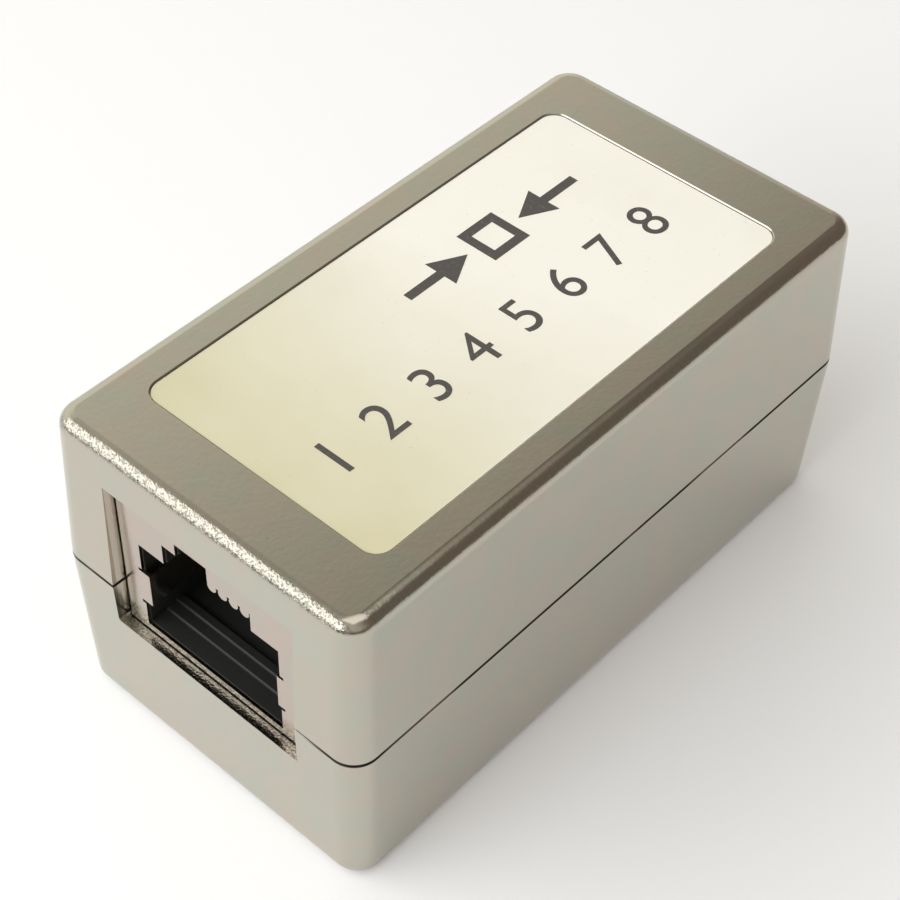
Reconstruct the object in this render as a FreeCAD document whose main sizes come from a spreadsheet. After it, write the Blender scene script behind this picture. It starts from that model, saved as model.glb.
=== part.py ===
import FreeCAD, Part
import math
import os

import Sketcher
from FreeCAD import Placement, Rotation, Vector

# Inline coupler for two eight-way modular plugs: two plated half shells around a small board that
# carries a shielded jack at each end. Millimetres. X is across, Y is along, +Z is up, and the origin
# is on the underside, at the middle. The front mouth faces -Y, and the rear jack is the front one
# turned half a turn about Z. Heights named rise or drop are measured from the seam.

DIMENSIONS = [
    # shells
    ("shell_width", 26.0, "across, at the seam, where the drafted halves are widest"),
    ("shell_length", 49.0, "along, at the seam"),
    ("lower_height", 12.5, "underside to seam"),
    ("upper_height", 12.2, "seam to top"),
    ("draft_angle", 1.75, "degrees, on every outer wall"),
    ("corner_radius", 1.8, "upright corners of the shells"),
    ("rim_radius", 1.0, "top and bottom edges of the shells"),
    ("edge_break", 0.07, "rounding along the seam, and bevel round the label recess"),
    ("seam_gap", 0.15, "hairline between the outer walls; the posts carry the upper shell"),
    ("wall", 1.8, "thickness of the shells"),
    ("tongue_height", 0.8, "lap joint on the lower shell"),
    ("tongue_thickness", 0.7, "lap joint on the lower shell"),
    ("lap_clearance", 0.1, "round the tongue, in the rebate of the upper shell"),
    # windows in the end walls
    ("window_width", 16.0, "cut-out for a jack"),
    ("window_drop", 3.25, "seam to the sill of the cut-out"),
    ("window_rise", 9.0, "seam to the top of the cut-out"),
    ("window_corner", 0.25, "corners at the sill"),
    # label
    ("label_width", 19.4, "across"),
    ("label_length", 38.2, "along"),
    ("label_corner", 1.2, "corner radius"),
    ("label_thickness", 0.2, "sheet with its adhesive"),
    ("label_margin", 0.06, "gap between the label and the edge of its recess"),
    ("recess_depth", 0.3, "label recess in the upper shell"),
    # bosses, rails and ribs inside the shells
    ("boss_diameter", 3.2, "posts that join the shells"),
    ("boss_across", 9.8, "middle plane to a post"),
    ("boss_along", 11.0, "middle plane to a post"),
    ("pin_diameter", 1.7, "press pin on an upper post"),
    ("pin_reach", 3.5, "press pin below the seam"),
    ("socket_diameter", 1.8, "hole in a lower post"),
    ("rail_thickness", 1.0, "rails that carry the board"),
    ("rail_across", 7.0, "middle plane to a rail"),
    ("rail_length", 43.0, "along"),
    ("board_peg_diameter", 1.0, "peg on each rail"),
    ("rib_thickness", 1.0, "ribs that hold the jacks down"),
    ("rib_width", 14.0, "across"),
    ("rib_near", 7.0, "middle plane to the inner ribs"),
    ("rib_far", 17.0, "middle plane to the outer ribs"),
    # jacks
    ("jack_recess", 0.9, "face of a jack behind the end of the shells, at the seam"),
    ("jack_width", 15.8, "over the shield"),
    ("jack_length", 21.0, "over the shield"),
    ("jack_drop", 3.1, "seam to the underside of a jack, on the board"),
    ("jack_rise", 8.9, "seam to the top of a jack"),
    ("sheet", 0.25, "thickness of the shield"),
    ("fold_radius", 0.35, "outside of the shield's folds"),
    ("skirt_drop", 2.6, "seam to the lower edge of the shield's sides"),
    ("mouth_width", 11.9, "opening of the housing"),
    ("mouth_drop", 2.55, "seam to the floor of the opening"),
    ("mouth_rise", 4.85, "seam to the shoulder beside the latch keyway"),
    ("keyway_width", 7.4, "wide step of the keyway"),
    ("keyway_rise", 6.55, "seam to the top of the wide step"),
    ("notch_width", 5.0, "narrow step of the keyway"),
    ("notch_rise", 7.55, "seam to the top of the narrow step"),
    ("mouth_margin", 0.06, "shield opening larger than the housing's, on each side"),
    ("cavity_depth", 13.1, "jack face to the back of the opening"),
    ("finger_drop", 0.45, "seam to the foot of a grounding finger"),
    ("finger_height", 2.8, "height of a grounding finger"),
    ("finger_length", 4.2, "into the opening"),
    ("finger_reach_left", 0.6, "bend of the left finger into the opening"),
    ("finger_reach_right", 0.2, "the right finger is pressed nearly flat"),
    ("relief_height", 0.25, "saw cuts above and below a finger"),
    ("relief_depth", 0.3, "saw cuts above and below a finger"),
    ("tooth_radius", 0.38, "teeth of the grounding comb in the keyway"),
    ("tooth_pitch", 0.92, "teeth of the grounding comb in the keyway"),
    ("tooth_rise", 6.22, "seam to the middle of a tooth"),
    ("tooth_start", 0.55, "middle plane to the first tooth"),
    ("leg_width", 1.6, "ground leg of the shield"),
    ("leg_depth", 8.0, "jack face to a ground leg"),
    ("ledge_height", 0.4, "stepped bar across the floor behind the mouth"),
    ("ledge_depth", 1.45, "jack face to the bar"),
    ("ledge_step", 0.8, "first step to second step"),
    ("ledge_run", 1.5, "length of the bar along the floor"),
    ("ledge_bevel", 0.1, "bevel on each step"),
    ("peg_diameter", 1.8, "housing peg in the board"),
    ("peg_across", 5.4, "middle plane to a housing peg"),
    ("peg_depth", 9.0, "jack face to a housing peg"),
    # contacts and their carrier
    ("contact_pitch", 1.02, "between lines"),
    ("wire_width", 0.45, "across"),
    ("wire_thickness", 0.35, "section of a contact"),
    ("wire_drop", 2.825, "seam to the middle of the wire on the floor"),
    ("heel_radius", 0.45, "bend above the board"),
    ("toe_radius", 0.5, "bend behind the mouth"),
    ("toe_depth", 6.9, "jack face to the middle of the toe bend"),
    ("tip_depth", 10.0, "jack face to the free tip"),
    ("tip_drop", 0.05, "seam to the free tip"),
    ("odd_pin_depth", 16.0, "jack face to the pins of lines 1, 3, 5 and 7"),
    ("even_pin_depth", 18.5, "jack face to the pins of lines 2, 4, 6 and 8"),
    ("pin_below_board", 0.9, "pins and legs below the board"),
    ("groove_width", 0.6, "slot for a contact"),
    ("comb_depth", 9.3, "jack face to the comb round the tips"),
    ("comb_rise", 0.25, "seam to the top of the comb"),
    ("carrier_width", 11.2, "across"),
    ("carrier_rise", 4.0, "seam to the top of the carrier"),
    ("carrier_length", 7.3, "along"),
    ("bay_clearance", 0.05, "round the carrier"),
    # board
    ("board_width", 15.8, "across"),
    ("board_length", 43.0, "along"),
    ("board_thickness", 1.6, "laminate"),
    ("pin_hole", 0.8, "diameter"),
    ("hole_clearance", 0.1, "added to the diameter of a peg"),
    ("leg_notch_depth", 0.3, "from the board's edge"),
    ("leg_notch_width", 2.0, "along"),
    # how far features reach into or past the solid that they add to or cut
    ("overlap", 0.2, "of an added feature with the solid under it"),
    ("overrun", 1.0, "of a cut past the solid"),
]

LINES = 8
TEETH = 4
PARALLEL = 0.99      # least cosine for an edge to count as parallel to an axis
SAME_PLACE = 1e-3    # greatest distance between points that count as one
LEAST_CUT = 1e-6     # least volume that a cut must take

doc = FreeCAD.newDocument("InlineCoupler")
sheet = doc.addObject("Spreadsheet::Sheet", "Dims")
for row, (alias, number, note) in enumerate(DIMENSIONS, start=1):
    sheet.set(f"A{row}", alias)
    sheet.set(f"B{row}", str(number))
    sheet.set(f"C{row}", note)
    sheet.setAlias(f"B{row}", alias)
doc.recompute()

ALIASES = {alias for alias, number, note in DIMENSIONS}


def bound(expression):
    """An expression written with plain aliases, with the sheet's name put before each of them."""
    words = []
    for word in expression.replace("(", " ( ").replace(")", " ) ").split():
        words.append(f"Dims.{word}" if word in ALIASES else word)
    return " ".join(words)


def value(expression):
    """The number that an expression has at the sheet's present sizes."""
    return float(sheet.evalExpression(bound(expression)))


# Places that several sub-parts share, as expressions of the sheet.
SEAM = "lower_height"
TOP = "lower_height + upper_height"
FACE = "shell_length / 2 - jack_recess"
JACK_FLOOR = "lower_height - jack_drop"
BOARD_UNDERSIDE = "lower_height - jack_drop - board_thickness"


# ---------------------------------------------------------------- sketches and features

def new_body(label):
    """A PartDesign body with its label, which also names its file."""
    body = doc.addObject("PartDesign::Body", label)
    body.Label = label
    return body


def origin_feature(body, role):
    return next(item for item in body.Origin.OriginFeatures if item.Role == role)


def new_sketch(body, name, role, offset="0"):
    """A sketch on one of the body's origin planes, moved along that plane's normal."""
    sketch = body.newObject("Sketcher::SketchObject", name)
    sketch.AttachmentSupport = (origin_feature(body, role), [""])
    sketch.MapMode = "FlatFace"
    sketch.setExpression("AttachmentOffset.Base.z", bound(offset))
    return sketch


def bind(sketch, kind, references, expression):
    """A driving constraint whose value follows an expression."""
    index = sketch.addConstraint(Sketcher.Constraint(kind, *references, value(expression)))
    name = f"size{index}"
    sketch.renameConstraint(index, name)
    sketch.setExpression(f"Constraints.{name}", bound(expression))


def bind_point(sketch, geometry, position, across, up):
    """Hold one point of the sketch at two expressions."""
    bind(sketch, "DistanceX", (-1, 1, geometry, position), across)
    bind(sketch, "DistanceY", (-1, 1, geometry, position), up)


def polygon(sketch, points):
    """A closed outline of straight lines, each corner given as two expressions."""
    corners = [Vector(value(across), value(up), 0) for across, up in points]
    count = len(corners)
    first = sketch.GeometryCount
    for index in range(count):
        sketch.addGeometry(Part.LineSegment(corners[index], corners[(index + 1) % count]), False)
    for index in range(count):
        following = first + (index + 1) % count
        sketch.addConstraint(Sketcher.Constraint("Coincident", first + index, 2, following, 1))
    for index, (across, up) in enumerate(points):
        bind_point(sketch, first + index, 1, across, up)


def rectangle(sketch, left, right, low, high):
    polygon(sketch, [(left, low), (right, low), (right, high), (left, high)])


def centred_rectangle(sketch, width, length):
    rectangle(sketch, f"- ( {width} ) / 2", f"( {width} ) / 2", f"- ( {length} ) / 2", f"( {length} ) / 2")


def circle(sketch, across, up, diameter):
    centre = Vector(value(across), value(up), 0)
    index = sketch.addGeometry(Part.Circle(centre, Vector(0, 0, 1), value(diameter) / 2), False)
    bind_point(sketch, index, 3, across, up)
    bind(sketch, "Diameter", (index,), diameter)


def pad(body, name, sketch, length, reverse=False, symmetric=False, draft=None):
    """Add the sketch's area, along its normal or against it."""
    feature = body.newObject("PartDesign::Pad", name)
    feature.Profile = sketch
    feature.setExpression("Length", bound(length))
    feature.Reversed = reverse
    if symmetric:
        feature.SideType = "Symmetric"
    if draft:
        feature.setExpression("TaperAngle", bound(draft))
    return feature


def pocket(body, name, sketch, length, reverse=False, symmetric=False, draft=None):
    """Cut the sketch's area away, and check that the cut takes something."""
    doc.recompute()
    before = body.Tip.Shape.Volume
    feature = body.newObject("PartDesign::Pocket", name)
    feature.Profile = sketch
    feature.setExpression("Length", bound(length))
    feature.Reversed = reverse
    if symmetric:
        feature.SideType = "Symmetric"
    if draft:
        feature.setExpression("TaperAngle", bound(draft))
    doc.recompute()
    if feature.Shape.Volume > before - LEAST_CUT:
        raise RuntimeError(f"{body.Label}: {name} cuts nothing")
    return feature


def fillet(body, name, radius, chosen):
    """Round the edges of the tip that chosen(edge) picks."""
    doc.recompute()
    base = body.Tip
    names = [f"Edge{i}" for i, edge in enumerate(base.Shape.Edges, start=1) if chosen(edge)]
    if not names:
        raise RuntimeError(f"{body.Label}: {name} finds no edge")
    feature = body.newObject("PartDesign::Fillet", name)
    feature.Base = (base, names)
    feature.setExpression("Radius", bound(radius))
    return feature


def chamfer(body, name, size, chosen):
    """Bevel the edges of the tip that chosen(edge) picks."""
    doc.recompute()
    base = body.Tip
    names = [f"Edge{i}" for i, edge in enumerate(base.Shape.Edges, start=1) if chosen(edge)]
    if not names:
        raise RuntimeError(f"{body.Label}: {name} finds no edge")
    feature = body.newObject("PartDesign::Chamfer", name)
    feature.Base = (base, names)
    feature.setExpression("Size", bound(size))
    return feature


def repeat(body, name, feature, role, length, count):
    """Copies of a feature along one of the body's axes."""
    pattern = body.newObject("PartDesign::LinearPattern", name)
    pattern.Originals = [feature]
    pattern.Direction = (origin_feature(body, role), [""])
    pattern.setExpression("Length", bound(length))
    pattern.Occurrences = count
    body.Tip = pattern
    return pattern


def direction(edge):
    """Unit vector from one end of the edge to the other."""
    ends = [vertex.Point for vertex in edge.Vertexes]
    return (ends[-1] - ends[0]).normalize() if len(ends) == 2 else Vector(0, 0, 0)


def is_upright(edge):
    return abs(direction(edge).z) > PARALLEL


def at_height(height):
    """Test for edges that lie wholly at one height."""
    return lambda edge: max(abs(vertex.Z - height) for vertex in edge.Vertexes) < SAME_PLACE


# ---------------------------------------------------------------- shells

WINDOW_HALF = "window_width / 2"
BOSSES = [(x, y) for x in ("boss_across", "- boss_across") for y in ("boss_along", "- boss_along")]


def drafted_block(body, start, height, reverse):
    """The outside of a shell: a block that narrows away from the seam, with rounded corners."""
    outline = new_sketch(body, "Outline", "XY_Plane", start)
    centred_rectangle(outline, "shell_width", "shell_length")
    pad(body, "Block", outline, height, reverse=reverse, draft="- draft_angle")
    fillet(body, "Corners", "corner_radius", is_upright)
    fillet(body, "SeamEdge", "edge_break", at_height(value(start)))


def hollow_shell(body, height, reverse):
    """The inside of a shell, with the same draft as the outside, so the wall is even."""
    inside = new_sketch(body, "Inside", "XY_Plane", SEAM)
    centred_rectangle(inside, "shell_width - 2 * wall", "shell_length - 2 * wall")
    pocket(body, "Hollow", inside, f"{height} - wall", reverse=reverse, draft="- draft_angle")


def cut_windows(body, low, high):
    """One cut along the whole length opens both end walls."""
    window = new_sketch(body, "Window", "XZ_Plane")
    rectangle(window, f"- {WINDOW_HALF}", WINDOW_HALF, low, high)
    pocket(body, "Windows", window, "2 * shell_length", symmetric=True)


def rounded_label_outline(body, name, height, margin):
    """Label outline with arcs at its corners, larger by the margin on each side."""
    sketch = new_sketch(body, name, "XY_Plane", height)
    half_width = value(f"label_width / 2 + {margin}")
    half_length = value(f"label_length / 2 + {margin}")
    radius = value(f"label_corner + {margin}")
    inner_x, inner_y = half_width - radius, half_length - radius
    sides = [
        ((-inner_x, -half_length), (inner_x, -half_length)),
        ((half_width, -inner_y), (half_width, inner_y)),
        ((inner_x, half_length), (-inner_x, half_length)),
        ((-half_width, inner_y), (-half_width, -inner_y)),
    ]
    centres = [(inner_x, -inner_y), (inner_x, inner_y), (-inner_x, inner_y), (-inner_x, -inner_y)]
    for start, end in sides:
        sketch.addGeometry(Part.LineSegment(Vector(*start, 0), Vector(*end, 0)), False)
    for index, (x, y) in enumerate(centres):
        full = Part.Circle(Vector(x, y, 0), Vector(0, 0, 1), radius)
        start_angle = math.pi / 2 * (index - 1)
        sketch.addGeometry(Part.ArcOfCircle(full, start_angle, start_angle + math.pi / 2), False)
    for index in range(4):
        arc = 4 + index
        sketch.addConstraint(Sketcher.Constraint("Tangent", index, 2, arc, 1))
        sketch.addConstraint(Sketcher.Constraint("Tangent", arc, 2, (index + 1) % 4, 1))
        sketch.addConstraint(Sketcher.Constraint("Horizontal" if index % 2 == 0 else "Vertical", index))
    for arc in (5, 6, 7):
        sketch.addConstraint(Sketcher.Constraint("Equal", 4, arc))
    sketch.addConstraint(Sketcher.Constraint("Symmetric", 4, 3, 6, 3, -1, 1))
    bind(sketch, "Radius", (4,), f"label_corner + {margin}")
    bind(sketch, "DistanceX", (3, 1, 1, 1), f"label_width + 2 * {margin}")
    bind(sketch, "DistanceY", (0, 1, 2, 1), f"label_length + 2 * {margin}")
    return sketch


def posts(body, name, start, length, diameter, reverse=False, cut=False):
    """The same round feature at the four posts that join the shells."""
    sketch = new_sketch(body, f"{name}Sketch", "XY_Plane", start)
    for x, y in BOSSES:
        circle(sketch, x, y, diameter)
    make = pocket if cut else pad
    return make(body, name, sketch, length, reverse=reverse)


def upper_shell():
    body = new_body("upper_shell")
    drafted_block(body, f"{SEAM} + seam_gap", "upper_height - seam_gap", reverse=False)
    fillet(body, "TopRim", "rim_radius", at_height(value(TOP)))
    hollow_shell(body, "upper_height", reverse=True)

    cut_windows(body, f"{SEAM} - overrun", f"{SEAM} + window_rise")
    recess = rounded_label_outline(body, "RecessOutline", TOP, "label_margin")
    pocket(body, "LabelRecess", recess, "recess_depth")
    limit = value("label_width / 2 + label_margin + edge_break")

    def at_recess_edge(edge):
        inside = all(abs(vertex.X) < limit for vertex in edge.Vertexes)
        return inside and at_height(value(TOP))(edge)

    chamfer(body, "RecessEdge", "edge_break", at_recess_edge)

    ribs = new_sketch(body, "Ribs", "XY_Plane", f"{SEAM} + jack_rise")
    for place in ("rib_near", "rib_far", "- rib_near", "- rib_far"):
        half = "rib_thickness / 2"
        rectangle(ribs, "- rib_width / 2", "rib_width / 2", f"{place} - {half}", f"{place} + {half}")
    pad(body, "HoldDownRibs", ribs, "upper_height - jack_rise - wall / 2")

    posts(body, "Posts", SEAM, "upper_height - wall / 2", "boss_diameter")
    rebate = new_sketch(body, "Rebate", "XY_Plane", SEAM)
    outer = "2 * ( wall - tongue_thickness - lap_clearance )"
    inner = "2 * ( wall + lap_clearance )"
    centred_rectangle(rebate, f"shell_width - {outer}", f"shell_length - {outer}")
    centred_rectangle(rebate, f"shell_width - {inner}", f"shell_length - {inner}")
    pocket(body, "LapRebate", rebate, "tongue_height + lap_clearance", reverse=True)
    posts(body, "PressPins", SEAM, "pin_reach", "pin_diameter", reverse=True)
    return body


def lower_shell():
    body = new_body("lower_shell")
    drafted_block(body, SEAM, "lower_height", reverse=True)
    fillet(body, "BottomRim", "rim_radius", at_height(0))
    hollow_shell(body, "lower_height", reverse=False)

    tongue = new_sketch(body, "Tongue", "XY_Plane", SEAM)
    inner = "2 * wall"
    outer = "2 * ( wall - tongue_thickness )"
    centred_rectangle(tongue, f"shell_width - {inner}", f"shell_length - {inner}")
    centred_rectangle(tongue, f"shell_width - {outer}", f"shell_length - {outer}")
    pad(body, "LapTongue", tongue, "tongue_height")

    cut_windows(body, f"{SEAM} - window_drop", f"{SEAM} + 2 * tongue_height")
    sill = value(f"{SEAM} - window_drop")
    side = value(WINDOW_HALF)

    def at_sill_corner(edge):
        runs_along = abs(direction(edge).y) > PARALLEL
        at_side = all(abs(abs(vertex.X) - side) < SAME_PLACE for vertex in edge.Vertexes)
        return runs_along and at_side and at_height(sill)(edge)

    fillet(body, "SillCorners", "window_corner", at_sill_corner)

    rails = new_sketch(body, "Rails", "XY_Plane", "wall / 2")
    for place in ("rail_across", "- rail_across"):
        half = "rail_thickness / 2"
        rectangle(rails, f"{place} - {half}", f"{place} + {half}", "- rail_length / 2", "rail_length / 2")
    pad(body, "BoardRails", rails, f"{BOARD_UNDERSIDE} - wall / 2")

    pegs = new_sketch(body, "BoardPegs", "XY_Plane", BOARD_UNDERSIDE)
    for place in ("rail_across", "- rail_across"):
        circle(pegs, place, "0", "board_peg_diameter")
    pad(body, "Pegs", pegs, "board_thickness")

    posts(body, "Posts", "wall / 2", f"{SEAM} - wall / 2", "boss_diameter")
    posts(body, "Sockets", SEAM, "pin_reach + lap_clearance", "socket_diameter", cut=True)
    return body


def top_label():
    body = new_body("top_label")
    outline = rounded_label_outline(body, "Outline", f"{TOP} - recess_depth", "0")
    pad(body, "Sheet", outline, "label_thickness")
    return body


# ---------------------------------------------------------------- jacks

def mouth_outline(margin):
    """Outline of the opening: a wide part for the plug and a stepped keyway for its latch."""
    half = f"( mouth_width / 2 + {margin} )"
    key = f"( keyway_width / 2 + {margin} )"
    notch = f"( notch_width / 2 + {margin} )"
    floor = f"{SEAM} - mouth_drop - {margin}"
    shoulder = f"{SEAM} + mouth_rise + {margin}"
    step = f"{SEAM} + keyway_rise + {margin}"
    crown = f"{SEAM} + notch_rise + {margin}"
    right = [(half, floor), (half, shoulder), (key, shoulder), (key, step), (notch, step), (notch, crown)]
    left = [(f"- {x}", z) for x, z in reversed(right)]
    return right + left


def turned_for(side):
    """Front parts stay as modelled, and rear parts are turned half a turn about the upright axis."""
    return Placement(Vector(0, 0, 0), Rotation(Vector(0, 0, 1), 0 if side == "front" else 180))


def add_finger(body, name, side_sign, reach):
    """A grounding finger: a tab in the plane of the face that folds back along the opening's wall."""
    plan = new_sketch(body, f"{name}Plan", "XY_Plane", f"{SEAM} - finger_drop")
    root = "( mouth_width / 2 + mouth_margin )"
    bend = f"( mouth_width / 2 - {reach} )"
    tail = "( mouth_width / 2 - sheet / 2 )"
    face = f"- ( {FACE} )"
    points = [
        (root, face),
        (bend, face),
        (f"( {bend} - sheet / 4 )", f"{face} + 2 * sheet"),
        (f"( {tail} - sheet / 2 )", f"{face} + finger_length"),
        (tail, f"{face} + finger_length"),
        (f"( {bend} + sheet / 2 )", f"{face} + 2 * sheet"),
        (f"( {bend} + sheet / 2 )", f"{face} + sheet"),
        (root, f"{face} + sheet"),
    ]
    polygon(plan, [(f"{side_sign} {x}", y) for x, y in points])
    pad(body, name, plan, "finger_height")


def jack_shield(side):
    """Folded sheet can: face, top, sides and back, with fingers, comb teeth and ground legs."""
    body = new_body(f"{side}_jack_shield")
    outer = "jack_width / 2"
    inner = "jack_width / 2 - sheet"
    low = JACK_FLOOR
    high = f"{SEAM} + jack_rise"
    block = new_sketch(body, "Outside", "XZ_Plane", FACE)
    rectangle(block, f"- {outer}", outer, low, high)
    pad(body, "Can", block, "jack_length", reverse=True)

    def is_front_fold(edge):
        front = all(abs(vertex.Y + value(FACE)) < SAME_PLACE for vertex in edge.Vertexes)
        return front and (is_upright(edge) or at_height(value(high))(edge))

    fillet(body, "FaceFolds", "fold_radius", is_front_fold)

    inside = new_sketch(body, "Inside", "XZ_Plane", f"{FACE} - sheet")
    rectangle(inside, f"- ( {inner} )", inner, f"{low} - overrun", f"{high} - sheet")
    pocket(body, "Hollow", inside, "jack_length - 2 * sheet")

    skirt = new_sketch(body, "Skirt", "XZ_Plane", f"{FACE} - sheet")
    rectangle(skirt, f"- ( {outer} + overrun )", f"{outer} + overrun",
              f"{low} - overrun", f"{SEAM} - skirt_drop")
    pocket(body, "SkirtCut", skirt, "jack_length")

    mouth = new_sketch(body, "Mouth", "XZ_Plane", FACE)
    polygon(mouth, mouth_outline("mouth_margin"))
    pocket(body, "MouthCut", mouth, "2 * sheet")

    reliefs = new_sketch(body, "Reliefs", "XZ_Plane", FACE)
    edge = "( mouth_width / 2 + mouth_margin )"
    foot = f"{SEAM} - finger_drop"
    head = f"{SEAM} - finger_drop + finger_height"
    for sign in ("", "-"):
        for low_side, high_side in ((f"{foot} - relief_height", foot), (head, f"{head} + relief_height")):
            start, end = f"{sign} ( {edge} - mouth_margin )", f"{sign} ( {edge} + relief_depth )"
            rectangle(reliefs, start, end, low_side, high_side)
    pocket(body, "FingerReliefs", reliefs, "2 * sheet")

    add_finger(body, "RightFinger", "", "finger_reach_right")
    add_finger(body, "LeftFinger", "-", "finger_reach_left")

    web = new_sketch(body, "CombWeb", "XZ_Plane", FACE)
    rectangle(web, "tooth_start - tooth_radius", "keyway_width / 2 + 2 * mouth_margin",
              f"{SEAM} + tooth_rise + tooth_radius / 2", f"{SEAM} + notch_rise + 2 * mouth_margin")
    pad(body, "Web", web, "sheet", reverse=True)

    tooth = new_sketch(body, "Tooth", "XZ_Plane", FACE)
    circle(tooth, "tooth_start", f"{SEAM} + tooth_rise", "2 * tooth_radius")
    first_tooth = pad(body, "FirstTooth", tooth, "sheet", reverse=True)
    repeat(body, "CombTeeth", first_tooth, "X_Axis", f"{TEETH - 1} * tooth_pitch", TEETH)

    legs = new_sketch(body, "Legs", "XY_Plane", f"{SEAM} - skirt_drop + sheet")
    for near, far in ((inner, outer), (f"- ( {outer} )", f"- ( {inner} )")):
        middle = f"- ( {FACE} ) + leg_depth"
        rectangle(legs, near, far, f"{middle} - leg_width / 2", f"{middle} + leg_width / 2")
    leg_length = "sheet + jack_drop - skirt_drop + board_thickness + pin_below_board"
    pad(body, "GroundLegs", legs, leg_length, reverse=True)
    body.Placement = turned_for(side)
    return body


def jack_housing(side):
    """Black moulding with the keyed opening, slots for the contacts and a comb round their tips."""
    body = new_body(f"{side}_jack_housing")
    half = "( jack_width / 2 - sheet )"
    block = new_sketch(body, "Outside", "XZ_Plane", f"{FACE} - sheet")
    rectangle(block, f"- {half}", half, JACK_FLOOR, f"{SEAM} + jack_rise - sheet")
    pad(body, "Block", block, "jack_length - 2 * sheet", reverse=True)

    mouth = new_sketch(body, "Mouth", "XZ_Plane", f"{FACE} - sheet")
    polygon(mouth, mouth_outline("0"))
    pocket(body, "Opening", mouth, "cavity_depth - sheet")

    bay = new_sketch(body, "Bay", "XZ_Plane", f"{FACE} - cavity_depth")
    bay_half = "( carrier_width / 2 + bay_clearance )"
    rectangle(bay, f"- {bay_half}", bay_half,
              f"{JACK_FLOOR} - overrun", f"{SEAM} + carrier_rise + bay_clearance")
    pocket(body, "CarrierBay", bay, "jack_length")

    first_line = f"( {LINES - 1} / 2 * contact_pitch )"
    slot = new_sketch(body, "Slot", "XY_Plane", f"{SEAM} - mouth_drop")
    slot_start = f"- ( {FACE} ) + toe_depth - toe_radius - wire_thickness"
    rectangle(slot, f"- {first_line} - groove_width / 2", f"- {first_line} + groove_width / 2",
              slot_start, f"- ( {FACE} ) + cavity_depth + overrun")
    first_slot = pocket(body, "FirstSlot", slot, "jack_drop")
    repeat(body, "FloorSlots", first_slot, "X_Axis", f"{LINES - 1} * contact_pitch", LINES)

    rib = new_sketch(body, "Rib", "XY_Plane", f"{SEAM} - mouth_drop - overlap")
    rib_half = "( contact_pitch - groove_width ) / 2"
    rib_x = f"( {LINES} / 2 * contact_pitch )"
    rectangle(rib, f"- {rib_x} - {rib_half}", f"- {rib_x} + {rib_half}",
              f"- ( {FACE} ) + comb_depth", f"- ( {FACE} ) + cavity_depth")
    first_rib = pad(body, "FirstRib", rib, "mouth_drop + comb_rise + overlap")
    repeat(body, "Comb", first_rib, "X_Axis", f"{LINES} * contact_pitch", LINES + 1)

    ledge = new_sketch(body, "Ledge", "YZ_Plane")
    start = f"- ( {FACE} ) + ledge_depth"
    end = f"{start} + ledge_run"
    second = f"{start} + ledge_step"
    foot = f"{SEAM} - mouth_drop - overlap"
    first_top = f"{SEAM} - mouth_drop + ledge_height / 2"
    crest = f"{SEAM} - mouth_drop + ledge_height"
    polygon(ledge, [
        (start, foot),
        (end, foot),
        (f"{end} - ledge_bevel", crest),
        (f"{second} + ledge_bevel", crest),
        (second, f"{crest} - ledge_bevel"),
        (second, first_top),
        (f"{start} + ledge_bevel", first_top),
        (start, f"{first_top} - ledge_bevel"),
    ])
    pad(body, "FloorLedge", ledge, "mouth_width", symmetric=True)

    pegs = new_sketch(body, "Pegs", "XY_Plane", JACK_FLOOR)
    for place in ("peg_across", "- peg_across"):
        circle(pegs, place, f"- ( {FACE} ) + peg_depth", "peg_diameter")
    pad(body, "BoardPegs", pegs, "board_thickness + pin_below_board / 2", reverse=True)
    body.Placement = turned_for(side)
    return body


def contact_carrier(side):
    """Block behind the opening that holds the eight contacts down on the board."""
    body = new_body(f"{side}_contact_carrier")
    block = new_sketch(body, "Outside", "XZ_Plane", f"{FACE} - cavity_depth")
    rectangle(block, "- carrier_width / 2", "carrier_width / 2", JACK_FLOOR, f"{SEAM} + carrier_rise")
    pad(body, "Block", block, "carrier_length", reverse=True)

    first_line = f"( {LINES - 1} / 2 * contact_pitch )"
    groove = new_sketch(body, "Groove", "XY_Plane", f"{SEAM} - wire_drop + wire_thickness / 2")
    rectangle(groove, f"- {first_line} - groove_width / 2", f"- {first_line} + groove_width / 2",
              f"- ( {FACE} ) + cavity_depth - overrun", f"- ( {FACE} ) + even_pin_depth + wire_thickness")
    first_groove = pocket(body, "FirstGroove", groove, "jack_drop")
    repeat(body, "Grooves", first_groove, "X_Axis", f"{LINES - 1} * contact_pitch", LINES)
    body.Placement = turned_for(side)
    return body


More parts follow.
